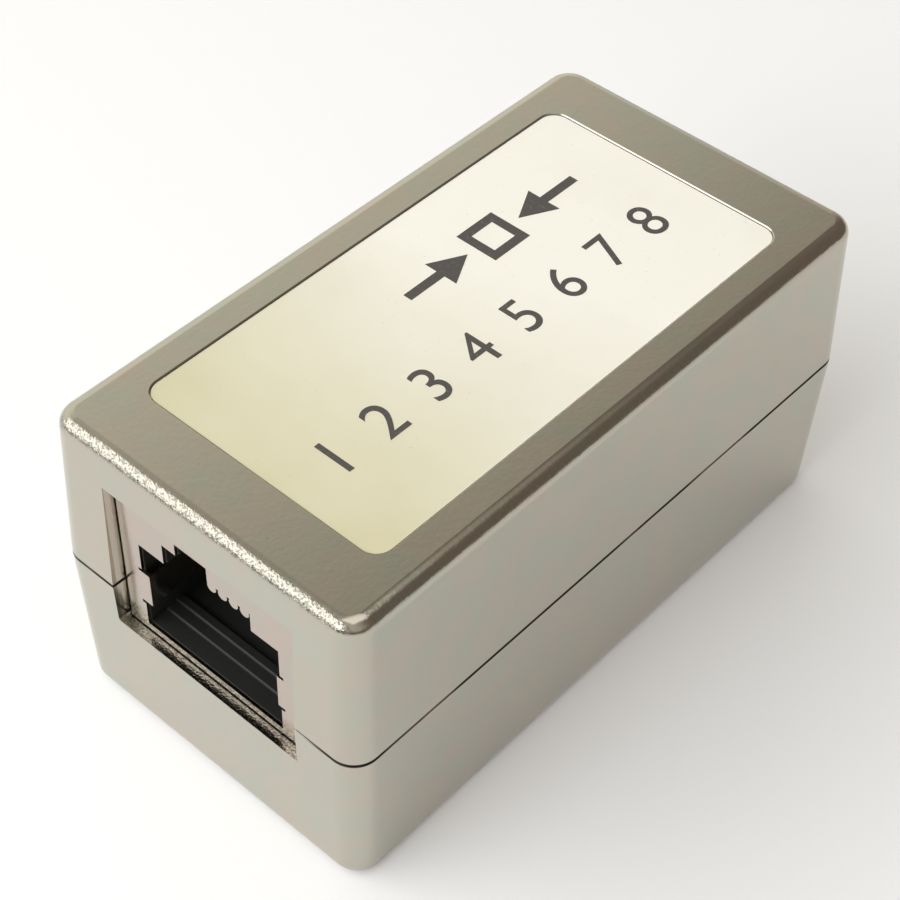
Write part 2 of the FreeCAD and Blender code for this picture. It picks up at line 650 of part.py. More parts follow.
def contact_path(body, pin_depth):
    """Centre line of a contact: up from the board, forward on the floor, back up to its free tip."""
    sketch = new_sketch(body, "Path", "YZ_Plane")
    pin_y = value(f"- ( {FACE} ) + {pin_depth}")
    foot_z = value(f"{BOARD_UNDERSIDE} - pin_below_board")
    run_z = value(f"{SEAM} - wire_drop")
    heel, toe = value("heel_radius"), value("toe_radius")
    toe_y, toe_z = value(f"- ( {FACE} ) + toe_depth"), run_z + toe
    tip_y, tip_z = value(f"- ( {FACE} ) + tip_depth"), value(f"{SEAM} - tip_drop")
    span, lift = tip_y - toe_y, tip_z - toe_z
    reach = math.hypot(span, lift)
    slope = math.atan2(lift, span) - math.asin(toe / reach)
    leave = Vector(toe_y - toe * math.sin(slope), toe_z + toe * math.cos(slope), 0)

    def arc(y, z, radius, start, end):
        return Part.ArcOfCircle(Part.Circle(Vector(y, z, 0), Vector(0, 0, 1), radius), start, end)

    pin_top = Vector(pin_y, run_z - heel, 0)
    run_back, run_front = Vector(pin_y - heel, run_z, 0), Vector(toe_y, run_z, 0)
    sketch.addGeometry(Part.LineSegment(Vector(pin_y, foot_z, 0), pin_top), False)
    sketch.addGeometry(arc(pin_y - heel, run_z - heel, heel, 0, math.pi / 2), False)
    sketch.addGeometry(Part.LineSegment(run_back, run_front), False)
    sketch.addGeometry(arc(toe_y, toe_z, toe, math.pi / 2 + slope, 3 * math.pi / 2), False)
    sketch.addGeometry(Part.LineSegment(leave, Vector(tip_y, tip_z, 0)), False)
    joints = [(0, 2, 1, 1), (1, 2, 2, 1), (2, 2, 3, 2), (3, 1, 4, 1)]
    for joint in joints:
        sketch.addConstraint(Sketcher.Constraint("Tangent", *joint))
    sketch.addConstraint(Sketcher.Constraint("Vertical", 0))
    sketch.addConstraint(Sketcher.Constraint("Horizontal", 2))
    bind_point(sketch, 0, 1, f"- ( {FACE} ) + {pin_depth}", f"{BOARD_UNDERSIDE} - pin_below_board")
    bind_point(sketch, 4, 2, f"- ( {FACE} ) + tip_depth", f"{SEAM} - tip_drop")
    bind(sketch, "DistanceY", (-1, 1, 2, 2), f"{SEAM} - wire_drop")
    bind(sketch, "DistanceX", (-1, 1, 3, 3), f"- ( {FACE} ) + toe_depth")
    bind(sketch, "Radius", (1,), "heel_radius")
    bind(sketch, "Radius", (3,), "toe_radius")
    return sketch


def contact(side, line):
    """One formed contact, modelled on the middle plane and placed on its line."""
    body = new_body(f"{side}_contact_{line}")
    pin_depth = "odd_pin_depth" if line % 2 else "even_pin_depth"
    path = contact_path(body, pin_depth)
    section = new_sketch(body, "Section", "XY_Plane", f"{BOARD_UNDERSIDE} - pin_below_board")
    middle = f"- ( {FACE} ) + {pin_depth}"
    rectangle(section, "- wire_width / 2", "wire_width / 2",
              f"{middle} - wire_thickness / 2", f"{middle} + wire_thickness / 2")
    wire = body.newObject("PartDesign::AdditivePipe", "Wire")
    wire.Profile = section
    wire.Spine = path
    wire.Mode = "Frenet"
    sign = 1 if side == "front" else -1
    body.Placement = turned_for(side)
    body.setExpression("Placement.Base.x", bound(f"{sign * (line - (LINES + 1) / 2)} * contact_pitch"))
    return body


# ---------------------------------------------------------------- board

def circuit_board():
    body = new_body("circuit_board")
    outline = new_sketch(body, "Outline", "XY_Plane", BOARD_UNDERSIDE)
    centred_rectangle(outline, "board_width", "board_length")
    pad(body, "Laminate", outline, "board_thickness")

    holes = new_sketch(body, "PegHoles", "XY_Plane", JACK_FLOOR)
    for x in ("peg_across", "- peg_across"):
        for sign in ("", "-"):
            circle(holes, x, f"{sign} ( {FACE} - peg_depth )", "peg_diameter + hole_clearance")
    for x in ("rail_across", "- rail_across"):
        circle(holes, x, "0", "board_peg_diameter + hole_clearance")
    pocket(body, "PegHoleCuts", holes, "board_thickness")

    notches = new_sketch(body, "Notches", "XY_Plane", JACK_FLOOR)
    for start, end in (("board_width / 2 - leg_notch_depth", "board_width / 2 + overrun"),
                       ("- board_width / 2 - overrun", "- board_width / 2 + leg_notch_depth")):
        for sign in ("", "-"):
            middle = f"{sign} ( {FACE} - leg_depth )"
            rectangle(notches, start, end, f"{middle} - leg_notch_width / 2",
                      f"{middle} + leg_notch_width / 2")
    pocket(body, "LegNotches", notches, "board_thickness")

    pins = new_sketch(body, "PinHoles", "XY_Plane", JACK_FLOOR)
    outer_line = f"- {LINES - 1} / 2 * contact_pitch"
    next_line = f"- {LINES - 3} / 2 * contact_pitch"
    rows = [(outer_line, "-", "odd_pin_depth"), (next_line, "-", "even_pin_depth"),
            (next_line, "", "odd_pin_depth"), (outer_line, "", "even_pin_depth")]
    for x, sign, depth in rows:
        circle(pins, x, f"{sign} ( {FACE} - {depth} )", "pin_hole")
    first_pins = pocket(body, "FirstPinHoles", pins, "board_thickness")
    repeat(body, "PinHolePattern", first_pins, "X_Axis", f"{LINES - 2} * contact_pitch", LINES // 2)
    return body


# ---------------------------------------------------------------- build, check and write

def build_all():
    bodies = [upper_shell(), lower_shell(), top_label(), circuit_board()]
    for side in ("front", "rear"):
        bodies += [jack_shield(side), jack_housing(side), contact_carrier(side)]
        bodies += [contact(side, line) for line in range(1, LINES + 1)]
    doc.recompute()
    return bodies


def check(bodies):
    """Stop before anything is written if an object failed or a sub-part is not one sound solid."""
    for item in doc.Objects:
        if {"Invalid", "Error"} & set(item.State):
            raise RuntimeError(f"{item.Label}: {item.State}")
    for body in bodies:
        shape = body.Shape
        if shape.isNull() or not shape.isValid() or len(shape.Solids) != 1:
            raise RuntimeError(f"{body.Label}: {len(shape.Solids)} solids, valid {shape.isValid()}")


def write(bodies):
    os.makedirs("parts", exist_ok=True)
    for body in bodies:
        body.Shape.exportStep(f"parts/{body.Label}.step")
        box = body.Shape.BoundBox
        print(f"{body.Label:22s} {box.XLength:7.3f} {box.YLength:7.3f} {box.ZLength:7.3f}"
              f"  volume {body.Shape.Volume:9.2f}")


PARTS = build_all()
check(PARTS)
write(PARTS)
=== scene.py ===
"""Looks for a keyed in-line coupler: two plated shells, a label, and two jacks on one board.

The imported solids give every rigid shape. This script gives each finish its own procedural
material, prints the label, solders the board, and sets the floor, the light and the camera.
Lengths are in metres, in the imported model's frame: +Y runs along the coupler and +Z is up.
"""

import logging
import math
from dataclasses import dataclass, field
from enum import Enum
from typing import Any, Iterable

import bmesh
import bpy
from mathutils import Matrix, Quaternion, Vector

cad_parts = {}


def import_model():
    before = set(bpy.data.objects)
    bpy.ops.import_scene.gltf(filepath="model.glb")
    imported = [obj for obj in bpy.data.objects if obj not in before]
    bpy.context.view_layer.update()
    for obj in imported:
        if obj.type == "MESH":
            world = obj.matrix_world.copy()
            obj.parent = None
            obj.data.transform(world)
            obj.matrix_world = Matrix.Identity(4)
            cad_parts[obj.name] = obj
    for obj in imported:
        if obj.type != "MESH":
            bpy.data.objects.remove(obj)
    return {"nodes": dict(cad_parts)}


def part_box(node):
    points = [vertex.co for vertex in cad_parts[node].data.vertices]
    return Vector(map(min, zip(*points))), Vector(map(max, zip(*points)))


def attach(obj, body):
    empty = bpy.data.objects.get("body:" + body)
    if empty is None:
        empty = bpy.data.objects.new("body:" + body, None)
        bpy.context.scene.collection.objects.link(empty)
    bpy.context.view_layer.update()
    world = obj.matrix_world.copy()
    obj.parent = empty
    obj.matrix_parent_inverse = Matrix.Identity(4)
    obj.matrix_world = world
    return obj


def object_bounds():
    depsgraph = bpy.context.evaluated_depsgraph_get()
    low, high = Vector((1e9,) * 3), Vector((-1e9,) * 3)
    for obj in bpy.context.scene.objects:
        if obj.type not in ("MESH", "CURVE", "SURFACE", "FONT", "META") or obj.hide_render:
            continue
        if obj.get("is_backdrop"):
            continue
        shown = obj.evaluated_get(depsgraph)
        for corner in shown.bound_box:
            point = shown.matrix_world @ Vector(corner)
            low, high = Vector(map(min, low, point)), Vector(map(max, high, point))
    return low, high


MM = 0.001
MIDDLE = 0.5  # the value that a noise pattern lies around
BODY = "root"
Colour = tuple[float, float, float]
Triple = tuple[float, float, float]
Point = tuple[float, float]
Span = tuple[float, float]
Key = str | int
log = logging.getLogger("coupler")


# ---------------------------------------------------------------- node trees

class Wire:
    """One output of a node tree, on which shader maths is written as plain arithmetic."""

    def __init__(self, sheet: "NodeSheet", socket: bpy.types.NodeSocket) -> None:
        """Holds a socket and the tree that it belongs to."""
        self.sheet = sheet
        self.socket = socket

    def _maths(self, operation: str, first: Any, second: Any = None) -> "Wire":
        """Adds one Math node and returns its result."""
        values = {0: first} if second is None else {0: first, 1: second}
        return self.sheet.node("ShaderNodeMath", {"operation": operation}, values)

    def __add__(self, other: Any) -> "Wire":
        """Returns self + other."""
        return self._maths("ADD", self, other)

    def __radd__(self, other: Any) -> "Wire":
        """Returns other + self."""
        return self._maths("ADD", other, self)

    def __sub__(self, other: Any) -> "Wire":
        """Returns self - other."""
        return self._maths("SUBTRACT", self, other)

    def __rsub__(self, other: Any) -> "Wire":
        """Returns other - self."""
        return self._maths("SUBTRACT", other, self)

    def __mul__(self, other: Any) -> "Wire":
        """Returns self * other."""
        return self._maths("MULTIPLY", self, other)

    def __rmul__(self, other: Any) -> "Wire":
        """Returns other * self."""
        return self._maths("MULTIPLY", other, self)

    def __abs__(self) -> "Wire":
        """Returns the distance from zero."""
        return self._maths("ABSOLUTE", self)

    def either(self, other: Any) -> "Wire":
        """Returns the larger of the two values."""
        return self._maths("MAXIMUM", self, other)

    def wave(self, spacing: float) -> "Wire":
        """Returns the distance from the nearest line of an evenly spaced set."""
        return self._maths("PINGPONG", self + 0.5 * spacing, 0.5 * spacing)

    def ramp(self, low: float, high: float, start: float = 0.0, end: float = 1.0) -> "Wire":
        """Eases from one value to another while this one goes from low to high.

        Args:
            low: The value at which the result is start.
            high: The value at which the result is end.
            start: The result at and before low.
            end: The result at and beyond high.

        Returns:
            The eased value.
        """
        return self.sheet.node(
            "ShaderNodeMapRange", {"interpolation_type": "SMOOTHSTEP"},
            {"Value": self, "From Min": low, "From Max": high, "To Min": start, "To Max": end})

    def within(self, limit: float, fade: float) -> "Wire":
        """Returns 1 up to a limit and 0 from a little beyond it."""
        return self.ramp(limit, limit + fade, 1.0, 0.0)

    def swing(self, share: float = 1.0) -> "Wire":
        """Returns how far a pattern lies from its middle value, times a share."""
        return (self - MIDDLE) * share


class NodeSheet:
    """Makes nodes in one tree: settings first, then the values and links of the sockets."""

    def __init__(self, tree: bpy.types.NodeTree) -> None:
        """Takes an existing tree and empties it."""
        self.tree = tree
        tree.nodes.clear()

    @staticmethod
    def _socket(sockets: Any, key: Key) -> bpy.types.NodeSocket:
        """Finds a socket by its place, its identifier or its name."""
        if isinstance(key, int):
            return sockets[key]
        return next((s for s in sockets if s.identifier == key), None) or sockets[key]

    def node(self, kind: str, settings: dict[str, Any] | None = None,
             values: dict[Key, Any] | None = None,
             output: Key = 0) -> Wire:
        """Adds one node.

        Args:
            kind: The node's type, as bpy names it.
            settings: The node's own properties, set before any socket.
            values: What each input gets: a Wire is linked, and anything else is written in.
            output: The output that the returned Wire stands for.

        Returns:
            The chosen output.
        """
        made = self.tree.nodes.new(kind)
        for name, setting in (settings or {}).items():
            setattr(made, name, setting)
        for key, value in (values or {}).items():
            socket = self._socket(made.inputs, key)
            if isinstance(value, Wire):
                self.tree.links.new(value.socket, socket)
            else:
                socket.default_value = value
        if not made.outputs:
            return Wire(self, made.inputs[0])
        return Wire(self, self._socket(made.outputs, output))

    def other(self, wire: Wire, output: str) -> Wire:
        """Returns another output of the node that a wire comes from."""
        return Wire(self, self._socket(wire.socket.node.outputs, output))

    def shade(self, amount: Wire | float, first: Any, second: Any) -> Wire:
        """Mixes two colours by an amount from 0 to 1."""
        return self.node("ShaderNodeMix", {"data_type": "RGBA"},
                         {"Factor_Float": amount, "A_Color": self._opaque(first),
                          "B_Color": self._opaque(second)}, "Result_Color")

    @staticmethod
    def _opaque(colour: Any) -> Any:
        """Gives a plain colour its alpha, and passes a Wire on."""
        return colour if isinstance(colour, Wire) else (*colour, 1.0)


@dataclass(frozen=True)
class Pattern:
    """A cloudy pattern whose values lie around MIDDLE.

    Args:
        grain: The width of one cloud, in metres.
        detail: How many finer layers it has.
        stretch: How often it repeats along each axis, against grain.
        levels: How it turns into patches: the two values between which they rise, and the
            amounts that they rise from and to.
        finer: How strong the finer layers are.
    """

    grain: float
    detail: float = 2.0
    stretch: Triple = (1.0, 1.0, 1.0)
    levels: tuple[float, ...] = (0.0, 1.0)
    finer: float = 0.5


class Finish(NodeSheet):
    """The node tree of one material, with the patterns that the finishes share."""

    def __init__(self, name: str) -> None:
        """Makes an empty material and reads its Object coordinates."""
        self.material = bpy.data.materials.new(name)
        self.material.use_nodes = True
        super().__init__(self.material.node_tree)
        self.place = self.node("ShaderNodeTexCoord", output="Object")

    def axis(self, letter: str) -> Wire:
        """Returns one coordinate of the place on the piece, in metres."""
        return self.node("ShaderNodeSeparateXYZ", {}, {"Vector": self.place}, letter)

    def noise(self, pattern: Pattern) -> Wire:
        """Returns a pattern's own values."""
        place = self.node("ShaderNodeMapping", {},
                          {"Vector": self.place, "Scale": pattern.stretch})
        return self.node("ShaderNodeTexNoise", {},
                         {"Vector": place, "Scale": 1.0 / pattern.grain,
                          "Detail": pattern.detail, "Roughness": pattern.finer})

    def patches(self, pattern: Pattern) -> Wire:
        """Returns a pattern's patches."""
        return self.noise(pattern).ramp(*pattern.levels)

    def relief(self, height: Wire, depth: float, below: Wire | None = None) -> Wire:
        """Turns a height into a normal.

        Args:
            height: The height, as a share of depth.
            depth: The full depth, in metres.
            below: An earlier relief that this one lies on.

        Returns:
            The normal.
        """
        values = {"Height": height, "Distance": depth, "Strength": 1.0}
        if below is not None:
            values["Normal"] = below
        return self.node("ShaderNodeBump", {}, values)

    def surface(self, **values: Any) -> bpy.types.Material:
        """Ends the tree in one Principled shader.

        Args:
            values: The shader's inputs, with an underscore for each space.

        Returns:
            The finished material.
        """
        named = {name.replace("_", " "): value for name, value in values.items()}
        for name, value in named.items():
            if name.endswith(("Color", "Tint")) and not isinstance(value, Wire):
                named[name] = (*value, 1.0)
        shader = self.node("ShaderNodeBsdfPrincipled", {}, named)
        self.node("ShaderNodeOutputMaterial", {}, {"Surface": shader})
        return self.material


# ---------------------------------------------------------------- finishes

def tinted(colour: Colour, tint: Colour) -> Colour:
    """Returns a colour with each part multiplied by its own share, and no part above 1."""
    return tuple(min(1.0, part * share) for part, share in zip(colour, tint))


def lighter(colour: Colour, by: float) -> Colour:
    """Returns a colour with each part multiplied alike."""
    return tinted(colour, (by, by, by))


@dataclass(frozen=True)
class Plating:
    """Satin nickel over a moulding or over sheet, with its fine grain and its handling marks."""

    colour: Colour = (0.490, 0.470, 0.406)
    warm: Colour = (1.035, 0.985, 0.972)
    cool: Colour = (0.960, 1.005, 0.992)
    # painted highlight: a lighter colour for the windows' sides and sills
    window_highlight: Colour = (0.745, 0.740, 0.680)
    # painted shade: the dark colour of the seam's shade and of the dark specks on coarse places
    painted_shade: Colour = (0.030, 0.028, 0.025)
    # how far painted shade darkens the coarse places, to dim their highlight
    wear_and_shade: float = 0.74
    pitted: float = 0.6
    tint: Pattern = Pattern(3.2 * MM, 3.0, levels=(0.35, 0.65))
    pits: Pattern = Pattern(0.4 * MM, 1.0, levels=(0.74, 0.82, 0.0, 0.2))
    # dark specks of painted shade on the coarse places
    specks: Pattern = Pattern(0.18 * MM, 1.0, levels=(0.50, 0.60, 0.0, 0.50))
    ripple: Pattern = Pattern(1.6 * MM)
    ripple_depth: float = 0.0045 * MM
    grain: Pattern = Pattern(0.30 * MM, 3.0)
    grain_depth: float = 0.0040 * MM
    glints: Pattern = Pattern(0.15 * MM)
    glint_depth: float = 0.034 * MM
    clouds: Pattern = Pattern(5.0 * MM, 4.0)
    rubs: Pattern = Pattern(0.35 * MM, stretch=(1.0, 0.06, 1.0), levels=(0.60, 0.74, 0.0, 0.04))
    roughness: float = 0.18
    cloud_sheen: float = 0.10
    grain_sheen: float = 0.05
    seam_sheen: float = 0.4

    def coarse(self, finish: Finish) -> Wire | float:
        """Returns where the surface is broken up into glints and dimmed by painted shade, from 0
        to 1.
        """
        return 0.0

    def seam_shade(self, finish: Finish) -> Wire | float:
        """Returns where painted shade darkens the seam, from 0 to 1."""
        return 0.0

    def bright(self, finish: Finish) -> Wire | float:
        """Returns where a painted highlight lightens the surface, from 0 to 1."""
        return 0.0

    def material(self, name: str) -> bpy.types.Material:
        """Builds the plating.

        Its colour drifts a little and has pits, a painted highlight on the windows' sides and
        sills, painted shade with dark specks on its coarse places that dims their highlight, and
        painted shade along the seam. Its relief is a soft ripple, a fine grain, and glints where
        it is coarse.

        Args:
            name: The material's name.

        Returns:
            The material.
        """
        finish = Finish(name)
        coarse, seam_shade, grain = self.coarse(finish), self.seam_shade(finish), finish.noise(self.grain)
        colour = finish.shade(finish.patches(self.tint), tinted(self.colour, self.warm),
                              tinted(self.colour, self.cool))
        for amount, shade in (
                (finish.patches(self.pits), lighter(self.colour, self.pitted)),
                # painted highlight on the windows' sides and sills
                (self.bright(finish), self.window_highlight),
                # painted shade and dark specks that dim the coarse places' highlight
                (coarse, lighter(self.colour, self.wear_and_shade)),
                (finish.patches(self.specks) * coarse, self.painted_shade),
                # painted shade along the seam
                (seam_shade, self.painted_shade)):
            colour = finish.shade(amount, colour, shade)
        normal = finish.relief(finish.noise(self.ripple), self.ripple_depth)
        normal = finish.relief(grain, self.grain_depth, normal)
        glints = finish.noise(self.glints).swing() * coarse
        normal = finish.relief(glints, self.glint_depth, normal)
        sheen = self.roughness + finish.noise(self.clouds).swing(self.cloud_sheen)
        sheen = sheen + finish.patches(self.rubs) + grain.swing(self.grain_sheen)
        sheen = sheen + seam_shade * self.seam_sheen
        return finish.surface(Base_Color=colour, Metallic=1.0, Roughness=sheen, Normal=normal)


@dataclass(frozen=True)
class CastPlating(Plating):
    """The plating of the cast shells: coarser on the rim and the sills, with painted shade along
    the seam.
    """

    nearly: float = 0.06 * MM
    half_width: float = 12.63 * MM
    half_length: float = 24.13 * MM
    top: float = 24.7 * MM
    rim_starts: float = 0.75 * MM
    rim_full: float = 0.40 * MM
    side_share: float = 0.15
    jack_face: float = 23.5 * MM
    sill: float = 9.25 * MM
    sill_half: float = 8.1 * MM
    sill_share: float = 0.8
    jamb: float = 8.0 * MM
    jamb_front: float = 24.15 * MM
    jamb_middle: float = 15.375 * MM
    jamb_half: float = 6.10 * MM
    seam: float = 12.575 * MM
    seam_half: float = 0.11 * MM
    seam_fade: float = 0.066 * MM
    # patches of painted shade along the seam
    seam_patches: Pattern = Pattern(7.0 * MM, levels=(0.34, 0.52, 0.3, 0.95))

    def rounding(self, place: Wire, edge: float) -> Wire:
        """Returns 1 from an edge's rounding on, and 0 a little before it."""
        return place.ramp(edge - self.rim_starts, edge - self.rim_full)

    def coarse(self, finish: Finish) -> Wire:
        """Returns 1 on the rounding between the top and the walls, and less on the sills."""
        side = self.rounding(abs(finish.axis("X")), self.half_width) * self.side_share
        end = self.rounding(abs(finish.axis("Y")), self.half_length)
        rim = side.either(end) * self.rounding(finish.axis("Z"), self.top)
        return rim.either(self.on_sill(finish) * self.sill_share)

    def on_sill(self, finish: Finish) -> Wire:
        """Returns 1 on the windows' sills."""
        sill = abs(finish.axis("Z") - self.sill).within(self.nearly, self.nearly)
        sill = sill * abs(finish.axis("Y")).ramp(self.jack_face, self.jack_face + self.nearly)
        return sill * abs(finish.axis("X")).within(self.sill_half, self.nearly)

    def bright(self, finish: Finish) -> Wire:
        """Returns 1 on the windows' sides and sills, where a highlight is painted."""
        length = abs(finish.axis("Y"))
        side = abs(abs(finish.axis("X")) - self.jamb).within(self.nearly, self.nearly)
        side = side * length.ramp(self.jack_face - self.nearly, self.jack_face)
        side = side * length.within(self.jamb_front, self.nearly)
        height = abs(finish.axis("Z") - self.jamb_middle)
        side = side * height.within(self.jamb_half, self.nearly)
        return side.either(self.on_sill(finish))

    def seam_shade(self, finish: Finish) -> Wire:
        """Returns up to 1 on the two lips of the seam, in patches, where shade is painted."""
        lips = abs(finish.axis("Z") - self.seam).within(self.seam_half, self.seam_fade)
        return lips * finish.patches(self.seam_patches)


@dataclass(frozen=True)
class SheetPlating(Plating):
    """The plating of the jacks' folded sheet: smoother, and broken up, with painted shade, below
    the mouth.
    """

    colour: Colour = (0.486, 0.430, 0.386)
    roughness: float = 0.16
    ripple: Pattern = Pattern(2.6 * MM)
    grain: Pattern = Pattern(0.30 * MM, 3.0, (1.0, 0.08, 1.0))
    lip: float = 9.85 * MM
    lip_fade: float = 0.1 * MM
    lip_share: float = 0.6

    def coarse(self, finish: Finish) -> Wire:
        """Returns more than 0 on the strip below the mouth."""
        return finish.axis("Z").within(self.lip, self.lip_fade) * self.lip_share


@dataclass(frozen=True)
class BlackMoulding:
    """Black moulded plastic with a little gloss."""

    colour: Colour = (0.020, 0.021, 0.020)
    dusty: float = 5.0
    dust: Pattern = Pattern(0.4 * MM, 4.0, levels=(0.62, 0.80, 0.0, 0.25))
    flow: Pattern = Pattern(2.5 * MM, 3.0, (1.0, 0.35, 1.0))
    spark: Pattern = Pattern(0.12 * MM, 3.0)
    spark_depth: float = 0.0015 * MM
    roughness: float = 0.50
    flow_sheen: float = 0.16
    spark_sheen: float = 0.08
    shine: float = 0.28

    def material(self, name: str) -> bpy.types.Material:
        """Builds the moulding: fine spark texture, flow clouds and dust in its grain."""
        finish = Finish(name)
        spark = finish.noise(self.spark)
        colour = finish.shade(finish.patches(self.dust), self.colour,
                              lighter(self.colour, self.dusty))
        gloss = self.roughness + finish.noise(self.flow).swing(self.flow_sheen)
        gloss = gloss + spark.swing(self.spark_sheen)
        return finish.surface(Base_Color=colour, Roughness=gloss, Specular_IOR_Level=self.shine,
                              Normal=finish.relief(spark, self.spark_depth))


@dataclass(frozen=True)
class ContactGold:
    """Thin gold on spring wire, wearing through to nickel where a plug wipes it."""

    gold: Colour = (0.83, 0.62, 0.24)
    nickel: Colour = (0.66, 0.63, 0.57)
    drawn: Pattern = Pattern(0.06 * MM, stretch=(1.0, 0.05, 0.4))
    drawn_depth: float = 0.001 * MM
    wear_and_shade: Pattern = Pattern(0.5 * MM, 3.0, levels=(0.55, 0.75))
    worn_share: float = 0.4
    roughness: float = 0.20
    drawn_sheen: float = 0.2
    worn_sheen: float = 0.08

    def material(self, name: str) -> bpy.types.Material:
        """Builds the gold: drawn lines along the wire and patches of wear."""
        finish = Finish(name)
        drawn, wear_and_shade = finish.noise(self.drawn), finish.patches(self.wear_and_shade)
        colour = finish.shade(wear_and_shade * self.worn_share, self.gold, self.nickel)
        gloss = self.roughness + drawn.swing(self.drawn_sheen) + wear_and_shade * self.worn_sheen
        return finish.surface(Base_Color=colour, Metallic=1.0, Roughness=gloss,
                              Normal=finish.relief(drawn, self.drawn_depth))


@dataclass(frozen=True)
class SolderMask:
    """Green mask over laminate, with a copper track under it for each line."""

    mask: Colour = (0.020, 0.105, 0.045)
    over_copper: Colour = (0.045, 0.215, 0.085)
    tracks: int = 8
    pitch: float = 1.02 * MM
    track_width: float = 0.42 * MM
    track_edge: float = 0.2
    track_depth: float = 0.035 * MM
    run: float = 7.0 * MM
    run_fade: float = 0.1 * MM
    side_fade: float = 0.05 * MM
    weave: Pattern = Pattern(0.45 * MM, stretch=(1.0, 0.3, 1.0))
    weave_share: float = 0.15
    weave_light: float = 1.2
    weave_sheen: float = 0.075
    roughness: float = 0.32
    coat: float = 0.6
    coat_roughness: float = 0.12

    def material(self, name: str) -> bpy.types.Material:
        """Builds the mask: straight tracks between the jacks, weave below and a wet gloss."""
        finish = Finish(name)
        across, along = finish.axis("X"), finish.axis("Y")
        middle = 0.5 * self.track_width
        copper = across.wave(self.pitch).ramp(middle * (1.0 - self.track_edge),
                                              middle * (1.0 + self.track_edge))
        copper = copper * abs(across).within(0.5 * self.tracks * self.pitch, self.side_fade)
        copper = copper * abs(along).within(self.run, self.run_fade)
        weave = finish.noise(self.weave)
        colour = finish.shade(copper, self.mask, self.over_copper)
        colour = finish.shade(weave * self.weave_share, colour,
                              lighter(self.over_copper, self.weave_light))
        return finish.surface(
            Base_Color=colour, Roughness=self.roughness + weave * self.weave_sheen,
            Normal=finish.relief(copper, self.track_depth), Coat_Weight=self.coat,
            Coat_Roughness=self.coat_roughness)


@dataclass(frozen=True)
class LabelStock:
    """Cream film label with a satin face."""

    colour: Colour = (0.95, 0.94, 0.88)
    # painted shade: the label darkens and yellows towards its front end; specks take a darker
    # copy of this colour
    aged_and_shaded: Colour = (0.68, 0.645, 0.44)
    shaded_until: float = -21.965 * MM
    lit_from: float = 8.595 * MM
    clouds: Pattern = Pattern(9.0 * MM, 3.0)
    cloud_share: float = 0.5
    specks: Pattern = Pattern(0.25 * MM, 1.0, levels=(0.74, 0.80, 0.0, 0.3))
    speckled: float = 0.7
    fibre: Pattern = Pattern(0.18 * MM, 4.0, (1.0, 0.5, 1.0))
    fibre_depth: float = 0.003 * MM
    roughness: float = 0.42
    fibre_sheen: float = 0.2
    coat: float = 0.15
    coat_roughness: float = 0.25

    def material(self, name: str) -> bpy.types.Material:
        """Builds the stock: faint fibre, painted shade that darkens and yellows it towards its
        front end, random clouds, and specks.
        """
        finish = Finish(name)
        fibre = finish.noise(self.fibre)
        # painted shade along the label, darker and yellower towards its front end, with random
        # clouds
        shade_and_clouds = finish.axis("Y").ramp(self.shaded_until, self.lit_from, 1.0, 0.0)
        shade_and_clouds = shade_and_clouds + finish.noise(self.clouds).swing(self.cloud_share)
        colour = finish.shade(shade_and_clouds, self.colour, self.aged_and_shaded)
        colour = finish.shade(finish.patches(self.specks), colour,
                              lighter(self.aged_and_shaded, self.speckled))
        return finish.surface(
            Base_Color=colour, Roughness=self.roughness + fibre.swing(self.fibre_sheen),
            Normal=finish.relief(fibre, self.fibre_depth), Coat_Weight=self.coat,
            Coat_Roughness=self.coat_roughness)


@dataclass(frozen=True)
class PrintInk:
    """Dark ink that sits thinly on the label."""

    colour: Colour = (0.075, 0.070, 0.066)
    starved: Colour = (0.22, 0.21, 0.19)
    cover: Pattern = Pattern(0.30 * MM, 4.0, levels=(0.52, 0.90), finer=0.65)
    cover_depth: float = 0.002 * MM
    roughness: float = 0.5
    cover_sheen: float = 0.2

    def material(self, name: str) -> bpy.types.Material:
        """Builds the ink: uneven cover and a dry face."""
        finish = Finish(name)
        cover = finish.noise(self.cover)
        colour = finish.shade(finish.patches(self.cover), self.colour, self.starved)
        return finish.surface(
            Base_Color=colour, Roughness=self.roughness + cover * self.cover_sheen,
            Normal=finish.relief(cover, self.cover_depth))


@dataclass(frozen=True)
class SolderTin:
    """Bright solder, slightly frosted where it cooled."""

    colour: Colour = (0.70, 0.70, 0.69)
    shaded: float = 0.85
    frosted: float = 1.1
    frost: Pattern = Pattern(0.10 * MM, 3.0)
    frost_depth: float = 0.002 * MM
    roughness: float = 0.18
    frost_sheen: float = 0.3

    def material(self, name: str) -> bpy.types.Material:
        """Builds the solder with its fine frosting."""
        finish = Finish(name)
        frost = finish.noise(self.frost)
        colour = finish.shade(frost, lighter(self.colour, self.shaded),
                              lighter(self.colour, self.frosted))
        return finish.surface(
            Base_Color=colour, Metallic=1.0, Roughness=self.roughness + frost * self.frost_sheen,
            Normal=finish.relief(frost, self.frost_depth))


# ---------------------------------------------------------------- pieces

def add_piece(name: str, mesh: bpy.types.Mesh, material: bpy.types.Material) -> bpy.types.Object:
    """Puts a finished mesh into the scene as a piece that rides on the coupler.

    Args:
        name: The piece's name.
        mesh: Its mesh, already in place.
        material: Its finish.

    Returns:
        The new object.
    """
    mesh.name = name
    mesh.materials.clear()
    mesh.materials.append(material)
    piece = bpy.data.objects.new(name, mesh)
    bpy.context.scene.collection.objects.link(piece)
    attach(piece, BODY)
    log.info("%s: %d faces", name, len(mesh.polygons))
    return piece


